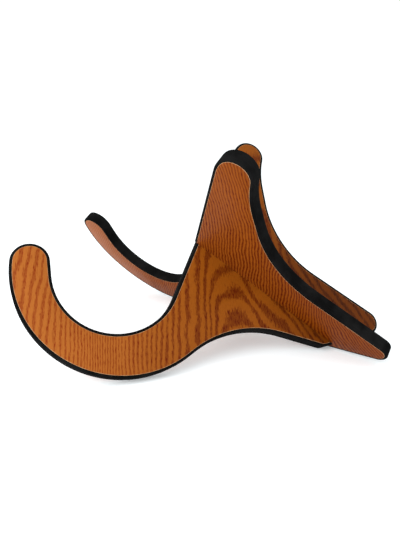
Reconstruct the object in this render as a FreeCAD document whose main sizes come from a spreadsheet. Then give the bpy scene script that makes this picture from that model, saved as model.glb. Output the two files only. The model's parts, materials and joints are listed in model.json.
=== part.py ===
import FreeCAD, Part
import math
import os

import Sketcher

# A take-apart stand made of two equal boards that cross at right angles.
#
# Both boards have the same outline: a hook with a round cradle at the front, a straight lobe
# that leans above it as a backrest, and a leg with a slanted foot at the rear. Each has a half slot,
# and the two slots interlock along one sloping line, so the boards brace each other and stand
# on the bottoms of their hooks and on their heels.
#
# Outline frame: "along" runs down the slot line from front to rear, "height" is square to it in
# the board, and the origin is where the front edge meets the slot line.
# Part frame: +X right, +Y rear, +Z up, millimetres, origin at the middle of the footprint on the floor.

DRIVING = [
    ("board_thickness", 12, "whole board, laminates included"),
    ("laminate_thickness", 0.5, "wood-look sheet on each face"),
    ("band_thickness", 2.5, "black edge band, measured in the plane of the board"),
    ("band_round", 1.5, "rounding of the two arrises of the band"),
    ("crossing_angle", 90, "angle between the two boards, degrees"),
    ("slot_side_gap", 0.3, "clearance on each side of the board that sits in a slot"),
    ("slot_end_gap", 0.3, "clearance between the ends of the two slots"),
    ("slot_meeting", 86, "where the two slots end, along the slot line"),
    ("tip_radius", 16, "round tips of the lobe and of the hook"),
    ("lobe_tip_along", -7.5, ""),
    ("lobe_tip_height", 118.7, ""),
    ("brow_radius", 28.5, "fuller corner between the lobe's tip and its front edge"),
    ("brow_height", 116.5, ""),
    ("cradle_radius", 55, "hollow that holds the load"),
    ("cradle_along", -40.4, ""),
    ("cradle_height", -75.6, ""),
    ("hook_tip_along", -102.2, ""),
    ("hook_tip_height", -113.4, ""),
    ("hook_back_radius", 95.5, "outer sweep under the cradle"),
    ("hook_back_height", -68.6, ""),
    ("arch_radius", 104, "hollow between the hook and the heel"),
    ("arch_along", 154.1, ""),
    ("heel_radius", 7.5, "corner between the arch and the foot"),
    ("heel_along", 155.1, ""),
    ("heel_height", -7.9, ""),
    ("rear_tip_radius", 12, ""),
    ("rear_tip_along", 190, ""),
    ("rear_tip_height", 38.2, ""),
    ("saddle_radius", 98, "hollow between the leg and the lobe"),
    ("saddle_along", 111.4, ""),
    ("saddle_height", 144.2, ""),
    ("neck_radius", 95, "slight hollow behind the tip of the lobe"),
    ("neck_along", 96.8, ""),
]

# Centres that follow from the tangencies, then the tilt at which hook and heel both touch the floor,
# then the height and the setback that put the origin on the floor in the middle of the footprint.
DERIVED = [
    ("brow_along", "lobe_tip_along + sqrt((brow_radius - tip_radius)^2"
     " - (lobe_tip_height - brow_height)^2)"),
    ("hook_back_along", "hook_tip_along + sqrt((hook_back_radius - tip_radius)^2"
     " - (hook_back_height - hook_tip_height)^2)"),
    ("arch_height", "hook_back_height - sqrt((hook_back_radius + arch_radius)^2"
     " - (arch_along - hook_back_along)^2)"),
    ("neck_height", "lobe_tip_height + sqrt((neck_radius + tip_radius)^2"
     " - (neck_along - lobe_tip_along)^2)"),
    ("heel_rise", "heel_height - hook_back_height"),
    ("heel_run", "heel_along - hook_back_along"),
    ("floor_slope", "atan(heel_rise / heel_run)"
     " + asin((hook_back_radius - heel_radius) / sqrt(heel_rise^2 + heel_run^2))"),
    ("board_lean", "crossing_angle * 1 deg / 2"),
    ("tilt", "atan(tan(floor_slope) * cos(board_lean))"),
    ("up_in_board", "sqrt(sin(tilt)^2 + (cos(board_lean) * cos(tilt))^2)"),
    ("back_in_board", "sqrt(cos(tilt)^2 + (cos(board_lean) * sin(tilt))^2)"),
    ("half_core", "board_thickness / 2 - band_round"),
    ("rise", "up_in_board * (hook_back_along * sin(floor_slope) - hook_back_height * cos(floor_slope)"
     " + hook_back_radius - band_round) + half_core * sin(board_lean) * cos(tilt) + band_round"),
    ("front_reach", "hook_tip_along * cos(tilt) + hook_tip_height * cos(board_lean) * sin(tilt)"
     " - (tip_radius - band_round) * back_in_board - half_core * sin(board_lean) * sin(tilt) - band_round"),
    ("rear_reach", "rear_tip_along * cos(tilt) + rear_tip_height * cos(board_lean) * sin(tilt)"
     " + (rear_tip_radius - band_round) * back_in_board + half_core * sin(board_lean) * sin(tilt)"
     " + band_round"),
    ("setback", "-(front_reach + rear_reach) / 2"),
]

# The outline as a closed run of arcs, taken anticlockwise from the tip of the lobe.
# Each arc: name of its centre, name of its radius, bulging (1) or hollow (-1),
# which of its centre's two coordinates are given (the tangencies fix the other),
# and whether a straight edge joins it to the next arc.
ARCS = [
    ("lobe_tip", "tip_radius", 1, ("along", "height"), False),
    ("brow", "brow_radius", 1, ("height",), True),
    ("cradle", "cradle_radius", -1, ("along", "height"), True),
    ("hook_tip", "tip_radius", 1, ("along", "height"), False),
    ("hook_back", "hook_back_radius", 1, ("height",), False),
    ("arch", "arch_radius", -1, ("along",), True),
    ("heel", "heel_radius", 1, ("along", "height"), True),
    ("rear_tip", "rear_tip_radius", 1, ("along", "height"), True),
    ("saddle", "saddle_radius", -1, ("along", "height"), True),
    ("neck", "neck_radius", -1, ("along",), False),
]

SIDES = {"right": -1, "left": 1}

doc = FreeCAD.newDocument("CrossedBoardStand")


def make_sheet():
    """The spreadsheet of driving sizes, with the derived ones below them."""
    sheet = doc.addObject("Spreadsheet::Sheet", "Sizes")
    rows = [(name, str(value), note) for name, value, note in DRIVING]
    rows += [(name, "=" + formula, "") for name, formula in DERIVED]
    for row, (name, content, note) in enumerate(rows, start=1):
        sheet.set(f"A{row}", name)
        sheet.set(f"B{row}", content)
        sheet.set(f"C{row}", note)
        sheet.setAlias(f"B{row}", name)
    doc.recompute()
    return sheet


sizes = make_sheet()


def size(name):
    """The number in one cell of the sheet."""
    value = sizes.get(name)
    return getattr(value, "Value", value)


def centre(name):
    return FreeCAD.Vector(size(name + "_along"), size(name + "_height"), 0)


def straight_ends(centre_a, radius_a, centre_b, radius_b):
    """Ends of the straight edge between two arcs; a hollow arc's radius counts as negative."""
    run = centre_b - centre_a
    sideways = (radius_b - radius_a) / run.Length
    direction = run.normalize()
    square = FreeCAD.Vector(-direction.y, direction.x, 0)
    left = square * math.sqrt(1 - sideways ** 2) + direction * sideways
    return centre_a - left * radius_a, centre_b - left * radius_b


def touching_point(centre_a, radius_a, centre_b, radius_b):
    """Point where two tangent arcs meet; a hollow arc's radius counts as negative."""
    return centre_a + (centre_b - centre_a) * (radius_a / (radius_a - radius_b))


def outline_geometry(inset):
    """Arcs and straight edges of the outline, moved inwards by the inset, in order."""
    centres = [centre(arc[0]) for arc in ARCS]
    radii = [arc[2] * (size(arc[1]) - arc[2] * inset) for arc in ARCS]
    starts = [None] * len(ARCS)
    ends = [None] * len(ARCS)
    for i, arc in enumerate(ARCS):
        j = (i + 1) % len(ARCS)
        pair = (centres[i], radii[i], centres[j], radii[j])
        if arc[4]:
            ends[i], starts[j] = straight_ends(*pair)
        else:
            ends[i] = starts[j] = touching_point(*pair)
    geometry = []
    for i, arc in enumerate(ARCS):
        circle = Part.Circle(centres[i], FreeCAD.Vector(0, 0, 1), abs(radii[i]))
        first, last = (starts[i], ends[i]) if arc[2] > 0 else (ends[i], starts[i])
        geometry.append(Part.ArcOfCircle(circle, circle.parameter(first), circle.parameter(last)))
        if arc[4]:
            geometry.append(Part.LineSegment(ends[i], starts[(i + 1) % len(ARCS)]))
    return geometry


def constrain(sketch, expression, *constraint):
    """Add one dimension to a sketch and bind it to an expression of the sheet's cells."""
    index = sketch.addConstraint(Sketcher.Constraint(*constraint))
    sketch.setExpression(f"Constraints[{index}]", expression)


def new_sketch(body, name):
    """An empty sketch on the middle plane of a body's board."""
    sketch = body.newObject("Sketcher::SketchObject", name)
    plane = [f for f in body.Origin.OriginFeatures if f.Role == "XY_Plane"][0]
    sketch.AttachmentSupport = [(plane, "")]
    sketch.MapMode = "FlatFace"
    return sketch


def outline_sketch(body, name, inset_name=None):
    """The board's outline, or the same outline moved inwards by a size of the sheet."""
    sketch = new_sketch(body, name)
    inset = size(inset_name) if inset_name else 0
    sketch.addGeometry(outline_geometry(inset), False)
    joints = []
    index = 0
    for arc_name, radius_name, bulge, given, straight_after in ARCS:
        first, last = (1, 2) if bulge > 0 else (2, 1)
        joints.append((index, first, last))
        shift = f" {'-' if bulge > 0 else '+'} Sizes.{inset_name}" if inset_name else ""
        radius = abs(size(radius_name) - bulge * inset)
        constrain(sketch, f"Sizes.{radius_name}{shift}", "Radius", index, radius)
        for axis, kind in (("along", "DistanceX"), ("height", "DistanceY")):
            if axis in given:
                cell = f"{arc_name}_{axis}"
                constrain(sketch, f"Sizes.{cell}", kind, -1, 1, index, 3, size(cell))
        index += 1
        if straight_after:
            joints.append((index, 1, 2))
            index += 1
    for (one, _, end), (other, start, _) in zip(joints, joints[1:] + joints[:1]):
        sketch.addConstraint(Sketcher.Constraint("Tangent", one, end, other, start))
    return sketch


def slot_sketch(body, side):
    """The rectangle that a board's half slot removes: it runs out past the board's own edge."""
    sketch = new_sketch(body, "SlotOutline")
    half_width = size("board_thickness") / 2 + size("slot_side_gap")
    half_gap = size("slot_end_gap") / 2
    mouth = size("rear_tip_along") if side == "right" else size("hook_tip_along")
    inner = size("slot_meeting") - half_gap if side == "right" else size("slot_meeting") + half_gap
    low, high = sorted((mouth, inner))
    corners = [
        FreeCAD.Vector(low, -half_width, 0),
        FreeCAD.Vector(high, -half_width, 0),
        FreeCAD.Vector(high, half_width, 0),
        FreeCAD.Vector(low, half_width, 0),
    ]
    for i, corner in enumerate(corners):
        sketch.addGeometry(Part.LineSegment(corner, corners[(i + 1) % 4]), False)
    for i in range(4):
        sketch.addConstraint(Sketcher.Constraint("Coincident", i, 2, (i + 1) % 4, 1))
        sketch.addConstraint(Sketcher.Constraint("Vertical" if i % 2 else "Horizontal", i))
    width = "Sizes.board_thickness / 2 + Sizes.slot_side_gap"
    constrain(sketch, width, "DistanceY", 0, 1, -1, 1, half_width)
    constrain(sketch, width, "DistanceY", -1, 1, 2, 1, half_width)
    meeting = f"Sizes.slot_meeting {'-' if side == 'right' else '+'} Sizes.slot_end_gap / 2"
    if side == "right":
        constrain(sketch, meeting, "DistanceX", -1, 1, 0, 1, low)
        constrain(sketch, "Sizes.rear_tip_along", "DistanceX", -1, 1, 1, 1, high)
    else:
        constrain(sketch, "-Sizes.hook_tip_along", "DistanceX", 0, 1, -1, 1, -low)
        constrain(sketch, meeting, "DistanceX", -1, 1, 1, 1, high)
    return sketch


def new_body(label, side):
    """A body whose XY plane is the middle plane of one board, standing in its place."""
    body = doc.addObject("PartDesign::Body", label)
    body.Label = label
    lean = f"{SIDES[side]} * Sizes.board_lean"
    body.setExpression(
        "Placement",
        "placement(vector(0; Sizes.setback; Sizes.rise);"
        " rotation(vector(1; 0; 0); -Sizes.tilt)"
        " * rotation(vector(1; 1; 1); 120)"
        f" * rotation(vector(1; 0; 0); {lean}))",
    )
    return body


def pad(body, sketch, length, offset=None):
    """A plate centred on the board's middle plane, or set off from it."""
    feature = body.newObject("PartDesign::Pad", "Plate")
    feature.Profile = sketch
    feature.setExpression("Length", length)
    if offset is None:
        feature.SideType = "Symmetric"
    else:
        sketch.setExpression("AttachmentOffset.Base.z", offset)
    doc.recompute()
    return feature


def pocket_through(body, sketch, name):
    """Cut a sketch right through the plate, both ways, and check that it removed something."""
    before = body.Shape.Volume
    feature = body.newObject("PartDesign::Pocket", name)
    feature.Profile = sketch
    feature.Type = "ThroughAll"
    feature.SideType = "Symmetric"
    doc.recompute()
    if not body.Shape.Volume < before - 1:
        raise RuntimeError(f"{body.Label}: {name} cut nothing")
    return feature


def make_core(side):
    """The board's core, between the two laminates and inside the edge band."""
    body = new_body(f"{side}_board_core", side)
    sketch = outline_sketch(body, "CoreOutline", "band_thickness")
    pad(body, sketch, "Sizes.board_thickness - 2 * Sizes.laminate_thickness")
    pocket_through(body, slot_sketch(body, side), "HalfSlot")
    return body


def make_laminate(side, face):
    """The wood-look sheet on one face of a board."""
    body = new_body(f"{side}_{face}_laminate", side)
    sketch = outline_sketch(body, "LaminateOutline", "band_thickness")
    outward = "Sizes.board_thickness / 2 - Sizes.laminate_thickness"
    offset = outward if face == "outer" else "-Sizes.board_thickness / 2"
    pad(body, sketch, "Sizes.laminate_thickness", offset)
    pocket_through(body, slot_sketch(body, side), "HalfSlot")
    return body


def make_band(side):
    """The black band round the board's edge, with rounded arrises, open at the slot's mouth."""
    body = new_body(f"{side}_edge_band", side)
    plate = pad(body, outline_sketch(body, "BandOutline"), "Sizes.board_thickness")
    half = size("board_thickness") / 2
    arrises = []
    for number, edge in enumerate(plate.Shape.Edges, start=1):
        if abs(abs(edge.CenterOfMass.z) - half) < 1e-6:
            arrises.append(f"Edge{number}")
    rounding = body.newObject("PartDesign::Fillet", "RoundedArrises")
    rounding.Base = (plate, arrises)
    rounding.setExpression("Radius", "Sizes.band_round")
    doc.recompute()
    pocket_through(body, outline_sketch(body, "BandInside", "band_thickness"), "Inside")
    pocket_through(body, slot_sketch(body, side), "HalfSlot")
    return body


def check(bodies):
    """Stop if any object failed or any sub-part is not one valid solid."""
    for item in doc.Objects:
        if "Invalid" in item.State or "Error" in item.State:
            raise RuntimeError(f"{item.Name} failed: {item.State}")
        if item.TypeId == "Sketcher::SketchObject" and not item.FullyConstrained:
            raise RuntimeError(f"{item.Name} is not fully constrained")
    for body in bodies:
        shape = body.Shape
        if shape.isNull() or not shape.isValid() or len(shape.Solids) != 1:
            raise RuntimeError(f"{body.Label}: bad shape")


def main():
    bodies = []
    for side in SIDES:
        bodies.append(make_core(side))
        bodies.append(make_laminate(side, "outer"))
        bodies.append(make_laminate(side, "inner"))
        bodies.append(make_band(side))
    doc.recompute()
    check(bodies)
    os.makedirs("parts", exist_ok=True)
    box = FreeCAD.BoundBox()
    for body in bodies:
        body.Shape.exportStep(f"parts/{body.Label}.step")
        box.add(body.Shape.optimalBoundingBox(False, False))
        print(f"{body.Label}: {body.Shape.Volume:.0f} mm3")
    print(f"tilt {size('tilt'):.2f} degrees")
    print(f"box {box.XLength:.1f} x {box.YLength:.1f} x {box.ZLength:.1f} mm")
    print(f"low {box.ZMin:.3f}, middle {box.Center.x:.3f} {box.Center.y:.3f}")


main()
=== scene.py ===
"""Looks for a stand of two crossed boards: wood-look laminate faces, black edge bands and fibreboard cores.

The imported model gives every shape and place. Each laminate is replaced by a piece of the same shape with a
softened border, and each surface gets a node material laid out in the plane of its own board.
Places and lengths inside the materials are millimetres. All others, and the heights of bumps, are metres.
"""

import json
import math

import bmesh
import bpy
from mathutils import Matrix, Vector


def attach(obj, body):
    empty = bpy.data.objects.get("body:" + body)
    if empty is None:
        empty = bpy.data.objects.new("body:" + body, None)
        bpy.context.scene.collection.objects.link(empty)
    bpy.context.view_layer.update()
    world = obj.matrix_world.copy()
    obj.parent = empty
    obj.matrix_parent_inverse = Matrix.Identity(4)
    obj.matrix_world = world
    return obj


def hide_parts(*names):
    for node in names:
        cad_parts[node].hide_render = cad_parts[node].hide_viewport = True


MM = 0.001

# Boards
SIDES = ("left", "right")
FACES = ("outer", "inner")
BORDER_BEVEL = 0.3 * MM
BORDER_STEPS = 3
SLOT_REACH = 7 * MM  # from the crossing line to just past the slot's walls
MERGE_DISTANCE = 0.001 * MM
FLAT_ANGLE = math.radians(0.05)
SHARP_ANGLE = math.radians(35)
FACING = 0.99
ALIGNED = 0.9999

# Camera
CAMERA_PLACE = (0.41687, 0.03979, 0.20328)
CAMERA_TURN = math.radians(-172.413)
CAMERA_TILT = math.radians(-17.137)
CAMERA_ROLL = math.radians(1.848)
CAMERA_LENS = 30.19

# Studio
FLOOR_SIZE = 30.0
FLOOR_COLOURS = ((0.84, 0.89, 0.91, 1.0), (0.87, 0.92, 0.94, 1.0))
FLOOR_CELLS = (3.0, 3.0, 3.0)
FLOOR_ROUGHNESS = 0.9
FLOOR_GLOW = 0.28
SKY_STRENGTH = 1.02
LAMP_PLACE = (0.9, -0.75, 0.75)
LAMP_TARGET = (0, 0, 0.1)
LAMP_SIZE = 1.0
LAMP_POWER = 14.0

# Sockets of the colour kind of Blender's Mix node
MIX_FIRST = 6
MIX_SECOND = 7
MIX_RESULT = 2


def srgb(red, green, blue):
    """A colour given in display values from 0 to 255, as linear values with alpha."""
    def linear(value):
        value /= 255
        return value / 12.92 if value <= 0.04045 else ((value + 0.055) / 1.055) ** 2.4

    return (linear(red), linear(green), linear(blue), 1.0)


# ---------------------------------------------------------------- the boards' own axes


def board_axes(frame):
    """The crossing's direction and place, and each board's height and face directions, from the frame."""
    across = Vector((1, 0, 0))
    along = -Vector(frame["joints"][0]["axis"]).normalized()
    lift = across.cross(along)
    axes = {}
    for side, lean in zip(SIDES, (1, -1)):
        height = (lift + lean * across).normalized()
        axes[side] = {"along": along, "height": height, "face": along.cross(height)}
    core = [v.co for v in frame["nodes"]["right_board_core"].data.vertices]
    runs = [p.dot(along) for p in core]
    depths = [p.dot(axes["right"]["face"]) for p in core]
    middle = (min(runs) + max(runs)) / 2
    raised = (min(depths) + max(depths)) / 2 / axes["right"]["face"].dot(lift)
    return axes, middle * along + raised * lift


# ---------------------------------------------------------------- node helpers


class Graph:
    """Adds and joins the nodes of one material."""

    def __init__(self, name):
        self.material = bpy.data.materials.new(name)
        self.material.use_nodes = True
        self.tree = self.material.node_tree
        self.shader = self.tree.nodes["Principled BSDF"]

    def node(self, kind, *values, **settings):
        made = self.tree.nodes.new("ShaderNode" + kind)
        for key, value in settings.items():
            setattr(made, key, value)
        for socket, value in enumerate(values):
            self.feed(made.inputs[socket], value)
        return made

    def feed(self, socket, value):
        if isinstance(value, bpy.types.NodeSocket):
            self.tree.links.new(value, socket)
        else:
            socket.default_value = value

    def math(self, operation, *values):
        return self.node("Math", *values, operation=operation).outputs[0]

    def dot(self, vector, direction):
        made = self.node("VectorMath", vector, tuple(direction), operation="DOT_PRODUCT")
        return made.outputs["Value"]

    def scaled(self, vector, scale):
        return self.node("VectorMath", vector, scale, operation="MULTIPLY").outputs[0]

    def noise(self, vector, cells, detail=2.0, roughness=0.5):
        """Soft noise from 0 to 1. cells says how many fit in each unit of vector, along its three axes."""
        made = self.node("TexNoise", self.scaled(vector, cells))
        made.inputs["Scale"].default_value = 1.0
        made.inputs["Detail"].default_value = detail
        made.inputs["Roughness"].default_value = roughness
        return made.outputs["Fac"]

    def centred_noise(self, vector, cells, detail=2.0, roughness=0.5):
        """The same noise, from -0.5 to 0.5."""
        return self.math("SUBTRACT", self.noise(vector, cells, detail, roughness), 0.5)

    def ramp(self, value, low, high, start=0.0, end=1.0):
        """value from low to high gives start to end, with an eased passage."""
        made = self.node("MapRange", value, low, high, start, end, interpolation_type="SMOOTHSTEP")
        return made.outputs[0]

    def mix(self, factor, first, second):
        made = self.node("Mix", data_type="RGBA")
        self.feed(made.inputs["Factor"], factor)
        self.feed(made.inputs[MIX_FIRST], first)
        self.feed(made.inputs[MIX_SECOND], second)
        return made.outputs[MIX_RESULT]

    def curve(self, value, points, span, top):
        """Reads value on a smooth curve through points, which run up to span and top."""
        made = self.node("FloatCurve", 1.0, self.math("DIVIDE", value, span))
        line = made.mapping.curves[0].points
        line[0].location = (points[0][0] / span, points[0][1] / top)
        line[1].location = (points[-1][0] / span, points[-1][1] / top)
        for x, y in points[1:-1]:
            line.new(x / span, y / top)
        made.mapping.update()
        return self.math("MULTIPLY", made.outputs[0], top)

    def surface(self, colour, roughness, specular=0.5):
        """Sets the surface's colour, roughness and shine."""
        self.feed(self.shader.inputs["Base Color"], colour)
        self.feed(self.shader.inputs["Roughness"], roughness)
        self.feed(self.shader.inputs["Specular IOR Level"], specular)

    def bump(self, height, distance):
        """A bump whose height of 1 stands distance metres proud."""
        made = self.node("Bump")
        made.inputs["Distance"].default_value = distance
        self.feed(made.inputs["Height"], height)
        self.feed(self.shader.inputs["Normal"], made.outputs[0])

    def board_place(self, origin, axes, turn=0.0):
        """Millimetres along the grain, across it and through the board, and the three as one vector."""
        grain = math.cos(turn) * axes["along"] + math.sin(turn) * axes["height"]
        cross = math.cos(turn) * axes["height"] - math.sin(turn) * axes["along"]
        rest = self.node("TexCoord").outputs["Object"]
        away = self.node("VectorMath", rest, tuple(origin), operation="SUBTRACT").outputs[0]
        parts = [self.dot(away, direction / MM) for direction in (grain, cross, axes["face"])]
        return parts[0], parts[1], self.node("CombineXYZ", *parts).outputs[0]


# ---------------------------------------------------------------- the veneer's lines

GRAIN_TURN = math.radians(-52)

# Ground and pores of each wood
WOOD = {
    "honey": (srgb(158, 90, 34), srgb(118, 38, 3)),
    "amber": (srgb(136, 72, 14), srgb(80, 18, 1)),
    # umber_and_shade is a deep brown wood. On the right board's outer face it is partly painted shade, for
    # the shade the left board casts on that board's rear leg.
    "umber_and_shade": (srgb(102, 48, 4), srgb(48, 12, 1)),
    "russet": (srgb(132, 67, 15), srgb(76, 12, 0)),
    "chestnut": (srgb(124, 59, 6), srgb(72, 12, 0)),
    # rosy_painted_glare is not a wood: a pale pinkish tone with faint pores, painted onto the left board's
    # hook as the white floor's glare reflected at a grazing angle.
    "rosy_painted_glare": (srgb(150, 90, 56), srgb(130, 72, 42)),
}

# Each face is its own cut. An arched cut has nested blunt arches about the line across = axis, and the
# fourth from the heart crosses that line near along = tip. A straight cut has nearly parallel lines. seed
# moves the noise, so that no two faces match. woods are those met on the way from the hook to the heel, and
# passages says where, across the grain, each gives way to the next.
CUTS = {
    "right_outer": {
        "kind": "arched",
        "axis": -7.0,
        "tip": 26.0,
        "seed": 0.0,
        # Towards the heel this face turns to umber_and_shade, partly painted shade for the shade the left
        # board casts on the rear leg.
        "woods": ("honey", "amber", "umber_and_shade"),
        "passages": ((-170.0, -20.0), (10.0, 100.0)),
    },
    "left_outer": {
        "kind": "straight",
        "seed": 40.0,
        # Its first wood, rosy_painted_glare, is a painted reflection of the floor's glare on the hook.
        "woods": ("rosy_painted_glare", "russet", "chestnut"),
        "passages": ((-205.0, -110.0), (20.0, 90.0)),
    },
    "right_inner": {
        "kind": "straight",
        "seed": 90.0,
        "woods": ("honey", "amber"),
        "passages": ((-60.0, 90.0),),
    },
    "left_inner": {
        "kind": "arched",
        "axis": 12.0,
        "tip": 40.0,
        "seed": 140.0,
        "woods": ("russet", "chestnut", "umber_and_shade"),
        "passages": ((-90.0, 40.0), (60.0, 150.0)),
    },
}

# How each kind of cut draws its lines. wander and ripple carry them off course, by up to half that many
# lines either way, and drift adds to wander for each line counted. ragged frays the dark bands along the
# lines, swell widens and narrows them, and band holds the levels of their wave where they begin and where
# they are full.
KINDS = {
    "arched": {
        "wander": 0.8,
        "drift": 0.03,
        "ripple": 0.6,
        "ragged": 5.2,
        "swell": 2.2,
        "band": (-0.3, 0.9),
    },
    "straight": {
        "wander": 2.4,
        "drift": 0.0,
        "ripple": 1.8,
        "ragged": 2.6,
        "swell": 1.4,
        "band": (-0.5, 0.6),
    },
}

# Along the axis the arches lie ARCH_PITCH apart, and ARCH_COUNT is the one at tip. Their crowns are
# parabolas of CROWN_RADIUS, up to CROWN_REACH from the axis.
ARCH_PITCH = 26.0
ARCH_COUNT = 4.0
ARCH_BLUNTNESS = 3.5
CROWN_RADIUS = 11.0
CROWN_REACH = 28.0

# Lines counted sideways from the axis of an arched cut, as pairs of a distance and a count. Those of the
# hook's side lean in and out every HOOK_SWAY, most at the hook's tip.
HOOK_SIDE = (
    (0, 0),
    (8, 1.0),
    (19, 3.9),
    (27, 6),
    (49, 9),
    (94, 19),
    (104, 22),
    (144, 39),
    (158, 43),
    (203, 50),
)
HOOK_LEAN = 0.05
HOOK_SWAY = 115.0
HOOK_TIP = -190.0

# Those of the heel's side spread outwards from beside the tip, and sooner the further out they are.
HEEL_SIDE = ((0, 0), (5, 1.0), (13, 3.9), (26, 5), (45, 8), (190, 26))
HEEL_LEAN = 0.5
HEEL_START = 0.4
HEEL_EASE = 30.0

# Lines of a straight cut. They are finer near the top of the backrest. Across the grain one lean passes
# into the other, both turned about along = LEAN_PIVOT. The lines bend at along = BEND_PLACE, and past
# across = FAN_START they fan out.
FINE_SPACING = 2.7
COARSE_SPACING = 3.1
SPACING_PASSAGE = (-115.0, -20.0)
MAIN_LEAN = 0.2
HEEL_END_LEAN = -0.26
LEAN_PASSAGE = (60.0, 130.0)
LEAN_PIVOT = 50.0
BEND_PLACE = -70.0
BEND_LEAN = -0.2
BEND_EASE = 30.0
FAN_START = 77.0
FAN_SPREAD = 0.17
FAN_GROWTH = -0.005


def arched_count(g, along, across, cut):
    """Lines counted from the heart: sideways on the hook's side and the heel's, closed by a blunt arch."""
    run = g.math("SUBTRACT", along, cut["tip"])
    level = g.math("SUBTRACT", across, cut["axis"])
    sway = g.math("MULTIPLY", g.math("SUBTRACT", across, HOOK_TIP), 2 * math.pi / HOOK_SWAY)
    lean = g.math("MULTIPLY_ADD", g.math("COSINE", sway), HOOK_LEAN, HOOK_LEAN)
    hook = g.math("MULTIPLY", g.math("MULTIPLY_ADD", run, lean, level), -1.0)
    spread = g.math("SMOOTH_MAX", g.math("MULTIPLY_ADD", level, HEEL_START, run), 0.0, HEEL_EASE)
    heel = g.math("MULTIPLY_ADD", spread, -HEEL_LEAN, level)
    hook_count = g.curve(g.math("MAXIMUM", hook, 0.0), HOOK_SIDE, *HOOK_SIDE[-1])
    heel_count = g.curve(g.math("MAXIMUM", heel, 0.0), HEEL_SIDE, *HEEL_SIDE[-1])
    crown = g.math("MINIMUM", g.math("MULTIPLY", level, level), CROWN_REACH ** 2)
    drop = g.math("MULTIPLY_ADD", crown, -0.5 / CROWN_RADIUS, run)
    ahead = g.math("MULTIPLY_ADD", drop, -1 / ARCH_PITCH, ARCH_COUNT)
    return g.math("SMOOTH_MAX", g.math("MAXIMUM", hook_count, heel_count), ahead, ARCH_BLUNTNESS)


def straight_count(g, along, across):
    """Lines counted across a straight cut."""
    lean = g.ramp(across, *LEAN_PASSAGE, MAIN_LEAN, HEEL_END_LEAN)
    slope = g.math("MULTIPLY_ADD", g.math("SUBTRACT", along, LEAN_PIVOT), lean, across)
    past = g.math("SMOOTH_MIN", g.math("SUBTRACT", along, BEND_PLACE), 0.0, BEND_EASE)
    slope = g.math("MULTIPLY_ADD", past, BEND_LEAN, slope)
    above = g.math("MAXIMUM", g.math("SUBTRACT", across, FAN_START), 0.0)
    fan = g.math("MULTIPLY", above, g.math("MULTIPLY_ADD", along, FAN_GROWTH, FAN_SPREAD))
    spacing = g.ramp(along, *SPACING_PASSAGE, FINE_SPACING, COARSE_SPACING)
    return g.math("DIVIDE", g.math("ADD", slope, fan), spacing)


def line_count(g, along, across, seeded, cut):
    """Lines counted over the face, carried off their course as in real wood."""
    kind = KINDS[cut["kind"]]
    if cut["kind"] == "arched":
        count = arched_count(g, along, across, cut)
    else:
        count = straight_count(g, along, across)
    wander = g.centred_noise(seeded, cells=(0.012, 0.03, 0), detail=3.0)
    ripple = g.centred_noise(seeded, cells=(0.05, 0.025, 0), detail=1.0)
    reach = g.math("MULTIPLY_ADD", count, kind["drift"], kind["wander"])
    count = g.math("MULTIPLY_ADD", wander, reach, count)
    return g.math("MULTIPLY_ADD", ripple, kind["ripple"], count)


# ---------------------------------------------------------------- the veneer's tones

# Arched lines fade a little away from the heart, and straight ones towards the top of the backrest.
ARCHED_FADE = (8.0, 16.0)
ARCHED_STRENGTHS = (1.0, 0.9)
STRAIGHT_FADE = (-115.0, -35.0)
STRAIGHT_STRENGTHS = (0.8, 1.1)

# PORE_SHARE of a dark band's depth comes and goes with its pores, which show between the bands as dashes.
PORE_LEVELS = (0.48, 0.66)
PORE_SHARE = 0.4
PORE_DASHES = 0.18

PATCH_REACH = 40.0  # how far patches carry the passage from wood to wood
VENEER_SPECULAR = 0.06
VENEER_ROUGHNESS = (0.36, 0.46)
PORE_ROUGHNESS = 0.10
PORE_DEPTH = 0.05 * MM


def line_strength(g, along, count, cut):
    """How strongly the lines stand out from place to place."""
    if cut["kind"] == "arched":
        return g.ramp(count, *ARCHED_FADE, *ARCHED_STRENGTHS)
    return g.ramp(along, *STRAIGHT_FADE, *STRAIGHT_STRENGTHS)


def darkness(g, along, count, seeded, cut):
    """From the ground at 0 to full pores at 1: a dark band at each whole count, and dashes between."""
    kind = KINDS[cut["kind"]]
    ragged = g.centred_noise(seeded, cells=(0.2, 0.9, 0), detail=3.0, roughness=0.65)
    swell = g.centred_noise(seeded, cells=(0.02, 0.12, 0))
    wave = g.math("COSINE", g.math("MULTIPLY", count, 2 * math.pi))
    wave = g.math("MULTIPLY_ADD", swell, kind["swell"], wave)
    band = g.ramp(g.math("MULTIPLY_ADD", ragged, kind["ragged"], wave), *kind["band"])
    pores = g.ramp(g.noise(seeded, cells=(0.2, 1.5, 0), roughness=0.6), *PORE_LEVELS)
    dark = g.math("MULTIPLY", band, g.math("MULTIPLY_ADD", pores, PORE_SHARE, 1 - PORE_SHARE))
    dark = g.math("MULTIPLY", dark, line_strength(g, along, count, cut))
    return g.math("MULTIPLY_ADD", pores, PORE_DASHES, dark)


def wood_colours(g, across, seeded, cut):
    """The colours of the ground and of the pores, from wood to wood across the grain, painted glare and
    painted shade among them.
    """
    patch = g.centred_noise(seeded, cells=(0.008, 0.03, 0))
    level = g.math("MULTIPLY_ADD", patch, PATCH_REACH, across)
    first, *others = [WOOD[wood] for wood in cut["woods"]]
    ground, pores = first
    for passage, (next_ground, next_pores) in zip(cut["passages"], others):
        step = g.ramp(level, *passage)
        ground = g.mix(step, ground, next_ground)
        pores = g.mix(step, pores, next_pores)
    return ground, pores


# ---------------------------------------------------------------- materials


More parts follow.
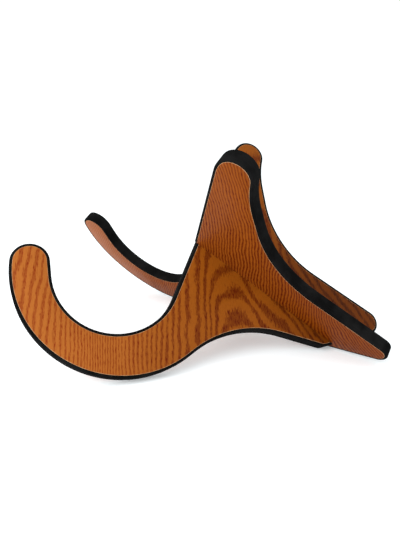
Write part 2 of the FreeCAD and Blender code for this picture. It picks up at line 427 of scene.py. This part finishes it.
def veneer(name, origin, axes, cut):
    """Oak-look laminate: lines of dark pores and short dashes along the grain, with a satin finish."""
    g = Graph(name)
    along, across, place = g.board_place(origin, axes, GRAIN_TURN)
    seeded = g.node("VectorMath", place, (cut["seed"],) * 3, operation="ADD").outputs[0]
    count = line_count(g, along, across, seeded, cut)
    dark = darkness(g, along, count, seeded, cut)
    ground, pores = wood_colours(g, across, seeded, cut)
    sheen = g.ramp(g.noise(seeded, cells=(0.06, 0.25, 0), detail=3.0), 0.2, 0.8, *VENEER_ROUGHNESS)
    roughness = g.math("MULTIPLY_ADD", dark, PORE_ROUGHNESS, sheen)
    g.surface(g.mix(dark, ground, pores), roughness, VENEER_SPECULAR)
    g.bump(g.math("MULTIPLY", dark, -1.0), PORE_DEPTH)
    return g.material


def laminate_border(origin, axes):
    """The laminate's trimmed edge, paler than its face: partly its own pale edge, partly a painted highlight
    for the glint along the border.
    """
    g = Graph("laminate_border")
    place = g.board_place(origin, axes)[2]
    painted_glint_patches = g.ramp(g.noise(place, cells=(0.2, 0.2, 0.2), detail=3.0), 0.3, 0.7)
    # The pale colour is partly a painted highlight for the border's glint; random patches turn it darker.
    colour = g.mix(painted_glint_patches, srgb(202, 158, 112), srgb(160, 106, 62))
    g.surface(colour, g.math("MULTIPLY_ADD", painted_glint_patches, 0.15, 0.4))
    return g.material


def band_rubber(side, origin, axes):
    """Matte black edge banding with a fine skin, a faint mottle and lengthwise scuffs."""
    g = Graph(side + "_edge_band")
    place = g.board_place(origin, axes)[2]
    mottle = g.noise(place, cells=(0.05, 0.05, 0.05), detail=4.0, roughness=0.6)
    skin = g.noise(place, cells=(2.2, 2.2, 2.2), detail=3.0, roughness=0.6)
    scuffs = g.ramp(g.noise(place, cells=(0.08, 0.08, 1.6), detail=3.0, roughness=0.6), 0.56, 0.75)
    tone = g.math("MULTIPLY_ADD", scuffs, 0.35, g.ramp(mottle, 0.35, 0.7, end=0.6))
    colour = g.mix(tone, srgb(12, 12, 12), srgb(30, 30, 30))
    g.surface(colour, g.ramp(mottle, 0.3, 0.7, start=0.75, end=0.9), specular=0.01)
    g.bump(g.math("MULTIPLY_ADD", skin, 0.5, g.math("MULTIPLY", mottle, 0.8)), 0.12 * MM)
    return g.material


def fibreboard(side, origin, axes):
    """The pressed-fibre core, seen where the slot is cut."""
    g = Graph(side + "_board_core")
    place = g.board_place(origin, axes)[2]
    fibres = g.noise(place, cells=(1.2, 1.2, 2.5), detail=4.0, roughness=0.7)
    layers = g.noise(place, cells=(0.05, 0.05, 0.6))
    tone = g.math("MULTIPLY_ADD", layers, 0.4, g.math("MULTIPLY", fibres, 0.6))
    colour = g.mix(g.ramp(tone, 0.3, 0.7), srgb(150, 112, 74), srgb(188, 152, 108))
    g.surface(colour, g.ramp(fibres, 0.3, 0.7, start=0.8, end=0.95))
    g.bump(fibres, 0.15 * MM)
    return g.material


# ---------------------------------------------------------------- pieces


def in_slot(edge, axes, origin):
    """True for the edges of the slot, which lie along the crossing or square to it."""
    ends = [v.co - origin for v in edge.verts]
    if any(abs(p.dot(axes["height"])) > SLOT_REACH for p in ends):
        return False
    run = (ends[1] - ends[0]).normalized()
    return max(abs(run.dot(axes["along"])), abs(run.dot(axes["height"]))) > ALIGNED


def soften_border(bm, outward, axes, origin):
    """Bevels the laminate's border on the side that faces outward, and gives the bevel its own material."""
    bmesh.ops.remove_doubles(bm, verts=bm.verts, dist=MERGE_DISTANCE)
    bmesh.ops.dissolve_limit(bm, angle_limit=FLAT_ANGLE, verts=bm.verts, edges=bm.edges)
    bm.normal_update()
    skins = [f for f in bm.faces if f.normal.dot(outward) > FACING]
    rim = [e for f in skins for e in f.edges if any(n not in skins for n in e.link_faces)]
    rim = [e for e in rim if not in_slot(e, axes, origin)]
    bmesh.ops.bevel(
        bm,
        geom=rim,
        offset=BORDER_BEVEL,
        segments=BORDER_STEPS,
        affect="EDGES",
        profile=0.5,
        material=1,
        clamp_overlap=True,
    )


def make_laminate(frame, side, face, axes, origin, materials):
    """Stands for one CAD laminate, with the same outline and a softened border."""
    node = f"{side}_{face}_laminate"
    outward = axes["face"] if face == "outer" else -axes["face"]
    bm = bmesh.new()
    bm.from_mesh(frame["nodes"][node].data)
    soften_border(bm, outward, axes, origin)
    for f in bm.faces:
        f.smooth = True
    mesh = bpy.data.meshes.new(node + "_veneer")
    bm.to_mesh(mesh)
    bm.free()
    for material in materials:
        mesh.materials.append(material)
    mesh.set_sharp_from_angle(angle=SHARP_ANGLE)
    piece = bpy.data.objects.new(node + "_veneer", mesh)
    bpy.context.scene.collection.objects.link(piece)
    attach(piece, side + "_board")
    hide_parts(node)


def dress(node, material):
    """Gives a CAD node its material."""
    node.data.materials.clear()
    node.data.materials.append(material)


# ---------------------------------------------------------------- studio


def make_floor():
    g = Graph("studio_floor")
    place = g.node("TexCoord").outputs["Object"]
    tone = g.noise(place, FLOOR_CELLS)
    g.surface(g.mix(tone, *FLOOR_COLOURS), FLOOR_ROUGHNESS, specular=0.0)
    g.shader.inputs["Emission Color"].default_value = (1, 1, 1, 1)
    g.shader.inputs["Emission Strength"].default_value = FLOOR_GLOW
    bpy.ops.mesh.primitive_plane_add(size=FLOOR_SIZE)
    floor = bpy.context.object
    floor.name = "studio_floor"
    floor.data.materials.append(g.material)


def make_light():
    lamp = bpy.data.lights.new("key_light", "AREA")
    lamp.shape = "DISK"
    lamp.size = LAMP_SIZE
    lamp.energy = LAMP_POWER
    light = bpy.data.objects.new("key_light", lamp)
    light.location = LAMP_PLACE
    light.rotation_euler = (Vector(LAMP_TARGET) - Vector(LAMP_PLACE)).to_track_quat("-Z", "Y").to_euler()
    bpy.context.scene.collection.objects.link(light)


def make_sky():
    world = bpy.data.worlds.new("studio_sky")
    world.use_nodes = True
    back = world.node_tree.nodes["Background"]
    back.inputs["Color"].default_value = (1, 1, 1, 1)
    back.inputs["Strength"].default_value = SKY_STRENGTH
    bpy.context.scene.world = world


def make_camera():
    level = math.cos(CAMERA_TILT)
    ahead = Vector((level * math.cos(CAMERA_TURN), level * math.sin(CAMERA_TURN), math.sin(CAMERA_TILT)))
    lens = bpy.data.cameras.new("camera")
    lens.lens = CAMERA_LENS
    lens.clip_start = 0.01
    camera = bpy.data.objects.new("camera", lens)
    turn = ahead.to_track_quat("-Z", "Y").to_matrix() @ Matrix.Rotation(CAMERA_ROLL, 3, "Z")
    camera.matrix_world = Matrix.Translation(CAMERA_PLACE) @ turn.to_4x4()
    bpy.context.scene.collection.objects.link(camera)
    bpy.context.scene.camera = camera


# ---------------------------------------------------------------- the scene

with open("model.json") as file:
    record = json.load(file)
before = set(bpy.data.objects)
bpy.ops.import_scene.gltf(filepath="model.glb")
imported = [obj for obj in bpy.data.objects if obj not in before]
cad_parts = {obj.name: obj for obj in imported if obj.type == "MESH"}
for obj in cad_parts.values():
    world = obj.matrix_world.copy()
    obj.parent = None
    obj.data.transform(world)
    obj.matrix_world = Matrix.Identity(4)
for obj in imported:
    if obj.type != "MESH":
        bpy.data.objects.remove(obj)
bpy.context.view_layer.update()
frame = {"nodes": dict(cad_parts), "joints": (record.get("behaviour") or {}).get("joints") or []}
boards, origin = board_axes(frame)

for side in SIDES:
    axes = boards[side]
    border = laminate_border(origin, axes)
    for face in FACES:
        name = f"{side}_{face}"
        skin = veneer(name + "_oak", origin, axes, CUTS[name])
        make_laminate(frame, side, face, axes, origin, (skin, border))
    dress(frame["nodes"][side + "_edge_band"], band_rubber(side, origin, axes))
    dress(frame["nodes"][side + "_board_core"], fibreboard(side, origin, axes))

make_floor()
make_sky()
make_light()
make_camera()
bpy.context.scene.view_settings.view_transform = "Standard"
